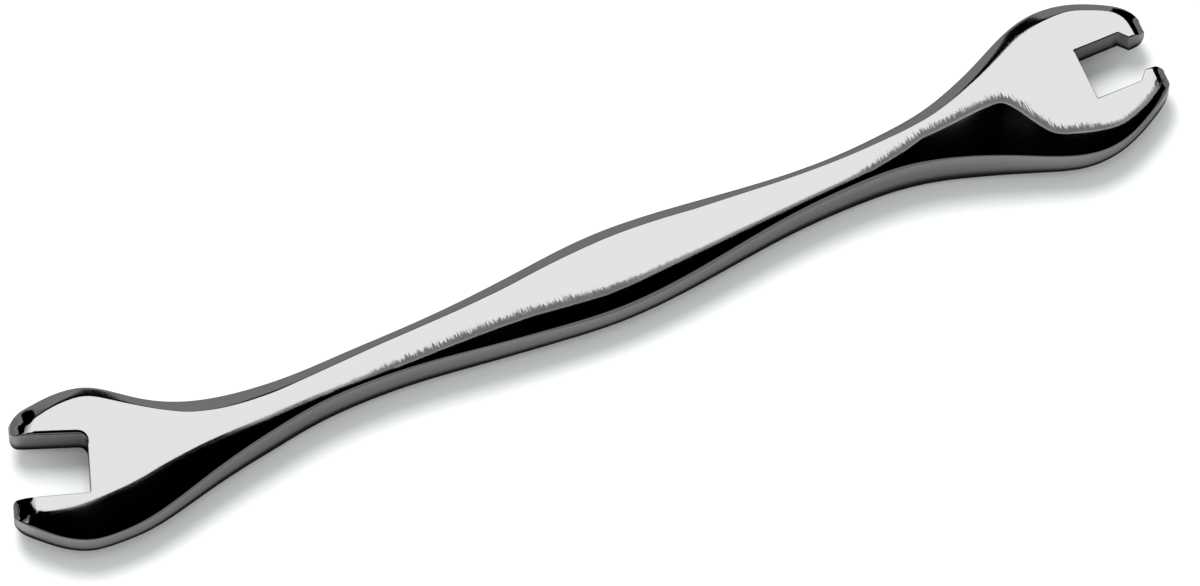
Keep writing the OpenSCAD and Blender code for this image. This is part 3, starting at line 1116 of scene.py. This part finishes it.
@dataclass(frozen=True)
class TableTop:
    """Matt pale laminate, rolled: it scatters light evenly, and a faint mottle keeps it from looking like fog.

    The mottle is a length in millimetres.
    """

    name: str = "matt laminate, white"
    colour: str = "f2f3f3"
    shade: str = "eef0f0"
    mottle: float = 40.0

    def build(self) -> bpy.types.Material:
        """Make the material's nodes.

        Returns:
            The material.
        """
        material, tree = blank_material(self.name)
        place = add_node(tree, "TexCoord").outputs["Object"]
        noise = add_node(tree, "TexNoise", {"Vector": place}, Scale=1 / (self.mottle * MM), Detail=2.0)
        mix = add_node(tree, "Mix", {"Factor": noise}, data_type="RGBA")
        for socket, value in ((MIX_A, self.colour), (MIX_B, self.shade)):
            mix.inputs[socket].default_value = linear(value)
        matt = add_node(tree, "BsdfDiffuse", {"Color": mix.outputs[MIX_RESULT]}, Roughness=0.6)
        add_node(tree, "OutputMaterial", {"Surface": matt})
        return material


@dataclass
class GroundSheet:
    """What the polished sides mirror of the table close by, with a painted contact shadow: dark at the contact, pale
    a millimetre out.

    It stands in for the table in reflections only. The painted shade at each point follows its distance from the
    wrench's outline, in millimetres: it goes darker again further out, and a little darker inside the jaws, where it
    stands for their shadow. The shade values are listed by distance.
    """

    boundary: Boundary
    origin: Vector
    # The shade values below are a painted contact shadow, set by distance from the outline.
    distances: tuple[float, ...] = (-0.3, 0.0, 0.2, 0.5, 0.9, 1.4, 2.4, 4.0, 6.0)
    painted_shades: tuple[float, ...] = (0.02, 0.05, 0.3, 0.75, 1.0, 1.0, 1.0, 0.5, 0.4)
    # Painted shade: the share of the sheet's grey kept inside the jaws, which stands for their shadow.
    jaw_shade_share: float = 0.75
    jaw_blend: float = 0.5
    traced: int = 6
    step: float = 0.5
    lift: float = 0.02
    # The sheet's grey, darker than the table top, is part of the painted shade.
    colour: str = "c2c2c2"

    def material(self) -> bpy.types.Material:
        """Make matt paper whose grey comes from the painted shade stored on the mesh.

        Returns:
            The material.
        """
        material, tree = blank_material("matt paper, shaded at the contact")
        shade = add_node(tree, "Attribute", attribute_name="shade")
        scaled = add_node(tree, "Mix", {"Factor": shade.outputs["Fac"]}, data_type="RGBA")
        scaled.inputs[MIX_A].default_value = linear("000000")
        scaled.inputs[MIX_B].default_value = linear(self.colour)
        matt = add_node(tree, "BsdfDiffuse", {"Color": scaled.outputs[MIX_RESULT]})
        add_node(tree, "OutputMaterial", {"Surface": matt})
        return material

    def build(self) -> bpy.types.Object:
        """Lay the sheet just over the table, round the wrench.

        Returns:
            The sheet's object.
        """
        reach = self.distances[-1]
        low, high = self.boundary.places.min(0) - reach, self.boundary.places.max(0) + reach
        gx, gy = np.meshgrid(np.arange(low[0], high[0], self.step), np.arange(low[1], high[1], self.step))
        field_points = np.stack([gx.ravel(), gy.ravel()], 1)
        rows = [self.boundary.places + self.boundary.normals * d for d in self.distances[: self.traced]]
        points = np.unique(np.round(np.vstack([field_points, *rows]), 3), axis=0)
        distance, _, _ = self.boundary.nearest(points)
        to_jaw, _, _ = self.boundary.nearest(points, EdgeKind.JAW)
        distance = np.where(self.boundary.inside(points), -distance, distance)
        # Painted shade: dark near the outline for the contact shadow, and darker inside the jaws for their shadow.
        share = np.interp(to_jaw - np.abs(distance), (0.0, self.jaw_blend), (self.jaw_shade_share, 1.0))
        shade = share * np.interp(distance, self.distances, self.painted_shades)
        kept = distance < reach
        points, shade = points[kept], shade[kept]
        made = delaunay_2d_cdt([Vector(p) for p in points], [], [], 0, SAME_PLACE)
        source = [ids[0] for ids in made[3]]
        skin = np.column_stack([points[source] + np.array(self.origin)[:2] / MM, np.full(len(source), self.lift)])
        faces = [f for f in made[2] if max((made[0][f[0]] - made[0][v]).length for v in f) < 2 * self.step]
        mesh = bpy.data.meshes.new("ground_sheet")
        mesh.from_pydata([tuple(v) for v in skin * MM], [], faces)
        mesh.attributes.new("shade", "FLOAT", "POINT").data.foreach_set("value", shade[source])
        mesh.materials.append(self.material())
        sheet = add_object("ground_sheet", mesh)
        sheet.visible_camera = sheet.visible_diffuse = sheet.visible_shadow = False
        return sheet


@dataclass(frozen=True)
class Glow:
    """Evenly lit diffuser cloth or card, which only gives light."""

    name: str
    strength: float
    colour: str = "ffffff"

    def build(self) -> bpy.types.Material:
        """Make the material's nodes.

        Returns:
            The material.
        """
        material, tree = blank_material(self.name)
        light = add_node(tree, "Emission", Color=linear(self.colour), Strength=self.strength)
        add_node(tree, "OutputMaterial", {"Surface": light})
        return material


@dataclass(frozen=True)
class Panel:
    """A flat softbox or card that hangs round the wrench, for its faces to mirror.

    Each corner is a direction: degrees behind the vertical, and degrees to the camera's right. The distance is that
    of the panel's middle, in metres. A reflector shows in the mirror faces and adds no light to the table.
    """

    name: str
    corners: tuple[tuple[float, float], ...]
    finish: Glow
    distance: float = 6.5
    reflector: bool = True


PANELS = (
    Panel(
        "overhead_softbox", ((15, -12), (17, 0), (28.4, 14.1), (40, 28.4), (40, -12)),
        Glow("softbox diffuser cloth", 1.74), 6.0, False,
    ),
    Panel(
        "softbox_flank_1", ((17, -19), (15.5, -12), (40, -12), (40, -19)),
        Glow("softbox flank cloth 1", 1.25), 6.0, False,
    ),
    Panel(
        "softbox_flank_2", ((18.5, -26), (17, -19), (40, -19), (40, -26)),
        Glow("softbox flank cloth 2", 0.7), 6.0, False,
    ),
    Panel(
        "softbox_flank_3", ((20, -33), (18.5, -26), (40, -26), (40, -33)),
        Glow("softbox flank cloth 3", 0.25), 6.0, False,
    ),
    Panel(
        "backdrop_card",
        (
            (44, -12), (44, 5), (54, 9), (66, 20), (80, 40), (89.5, 60), (89.5, -72), (66.5, -70), (65, -32),
            (60, -21),
        ),
        Glow("grey backdrop paper", 0.36),
    ),
    Panel("front_wall", ((-89, -75), (-52, -60), (-52, 60), (-89, 75)), Glow("grey room wall", 0.3)),
    Panel("left_wall", ((-40, -89), (-40, -66), (60, -66), (60, -89)), Glow("grey room wall", 0.3)),
    Panel("right_wall", ((-40, 66), (-40, 89), (60, 89), (60, 66)), Glow("grey room wall", 0.3)),
)


@dataclass
class Studio:
    """Camera, table and soft lights, set out round the wrench as the photograph's reflections show them.

    The photograph is 1200 pixels wide, at 9.64 pixels to the millimetre, and the aim is moved a little so that the
    wrench lies where it does there. The mirror faces don't see the table but a grey card under it, and the sheet
    that is shaded round the wrench.
    """

    azimuth: float = math.radians(-24.15)
    elevation: float = math.radians(66.5)
    distance: float = 2.6
    width_shown: float = 1200 / 9.64 * MM
    aim_across: float = -0.117 * MM
    aim_up: float = -1.223 * MM
    sensor: float = 36.0
    clip_range: tuple[float, float] = (0.1, 40.0)
    panels: tuple[Panel, ...] = PANELS
    most_oblique: float = 0.05
    table_size: float = 24.0
    card_height: float = -0.02
    card_finish: Glow = Glow("grey reflector card", 0.3)
    room_colour: str = "fdfefe"
    room_glow: float = 0.87
    lamp_place: tuple[float, float] = (25, -10)
    lamp_distance: float = 1.0
    lamp_size: float = 0.5
    lamp_power: float = 8.5

    def axes(self) -> tuple[Vector, Vector, Vector]:
        """Give the studio's own directions.

        Returns:
            Level to the camera's right, level away from the camera, and straight up.
        """
        c, s = math.cos(self.azimuth), math.sin(self.azimuth)
        return Vector((c, s, 0)), Vector((-s, c, 0)), Vector((0, 0, 1))

    def direction(self, behind: float, side: float) -> Vector:
        """A direction from the wrench.

        Args:
            behind: Degrees from straight up, away from the camera.
            side: Degrees to the camera's right.

        Returns:
            The unit vector.
        """
        right, away, up = self.axes()
        b, s = math.radians(behind), math.radians(side)
        return right * math.sin(s) + (away * math.sin(b) + up * math.cos(b)) * math.cos(s)

    def add_camera(self, origin: Vector) -> None:
        """Stand the camera at the photograph's angle.

        Args:
            origin: The wrench's own origin in the part's frame.
        """
        right, away, up = self.axes()
        back = up * math.sin(self.elevation) - away * math.cos(self.elevation)
        top = away * math.sin(self.elevation) + up * math.cos(self.elevation)
        data = bpy.data.cameras.new("photo_camera")
        data.sensor_width = self.sensor
        data.lens = self.sensor * self.distance / self.width_shown
        data.clip_start, data.clip_end = self.clip_range
        camera = add_object("photo_camera", data)
        camera.location = origin + right * self.aim_across + top * self.aim_up + back * self.distance
        camera.rotation_mode = "QUATERNION"
        camera.rotation_quaternion = (-back).to_track_quat("-Z", "Y")
        bpy.context.scene.camera = camera

    def add_level(self, name: str, height: float, finish: TableTop | Glow) -> bpy.types.Object:
        """Lay a level sheet as large as the table.

        Args:
            name: Name of the sheet.
            height: Its height over the table's top, in metres.
            finish: Its finish.

        Returns:
            The sheet.
        """
        bpy.ops.mesh.primitive_plane_add(size=self.table_size, location=(0, 0, height))
        sheet = bpy.context.object
        sheet.name = name
        sheet.data.materials.append(finish.build())
        return sheet

    def add_panel(self, panel: Panel) -> None:
        """Hang a panel so that its corners stand in their directions.

        Args:
            panel: The softbox or card.
        """
        rays = [self.direction(*corner) for corner in panel.corners]
        middle = sum(rays, Vector()).normalized()
        points = [r * (panel.distance / max(r.dot(middle), self.most_oblique)) for r in rays]
        mesh = bpy.data.meshes.new(panel.name)
        mesh.from_pydata([tuple(p) for p in points], [], [tuple(range(len(points)))])
        mesh.materials.append(panel.finish.build())
        card = add_object(panel.name, mesh)
        card.visible_camera = False
        card.visible_diffuse = card.visible_shadow = not panel.reflector

    def add_lamp(self) -> None:
        """Hang the round key lamp that gives the wrench its soft shadow."""
        key = bpy.data.lights.new("key_lamp", "AREA")
        key.shape, key.size, key.energy = "DISK", self.lamp_size, self.lamp_power
        lamp = add_object("key_lamp", key)
        lamp.location = self.direction(*self.lamp_place) * self.lamp_distance
        lamp.rotation_mode = "QUATERNION"
        lamp.rotation_quaternion = lamp.location.normalized().to_track_quat("Z", "Y")
        lamp.visible_glossy = lamp.visible_camera = False

    def build(self, origin: Vector, boundary: Boundary) -> None:
        """Set up the whole studio.

        Args:
            origin: The wrench's own origin in the part's frame.
            boundary: The wrench's plan outline.
        """
        self.add_camera(origin)
        table = self.add_level("table_top", 0.0, TableTop())
        table.visible_glossy = False
        # The sheet carries a painted contact shadow, and only reflections see it.
        GroundSheet(boundary, origin).build()
        card = self.add_level("ground_card", self.card_height, self.card_finish)
        card.visible_camera = card.visible_diffuse = card.visible_shadow = False
        for panel in self.panels:
            self.add_panel(panel)
        self.add_lamp()

        world = bpy.data.worlds.new("room")
        bpy.context.scene.world = world
        world.use_nodes = True
        room = world.node_tree.nodes["Background"]
        room.inputs["Color"].default_value = linear(self.room_colour)
        room.inputs["Strength"].default_value = self.room_glow
        world.cycles_visibility.glossy = False
        view = bpy.context.scene.view_settings
        view.view_transform, view.look = "Standard", "None"


def main() -> None:
    """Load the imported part, build its looks and the studio round it."""
    logging.basicConfig(level=logging.INFO, format="%(name)s: %(message)s")
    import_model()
    low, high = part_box("forged_body")
    forging = ForgedBody()
    body = forging.build(low, high)
    body.data.materials.append(ChromePlate().build())
    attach(body, "root")
    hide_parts("forged_body")
    LOG.info("%s rides on root", body.name)

    Studio().build(forging.origin(low, high), forging.outline())


if __name__ == "__main__":
    main()
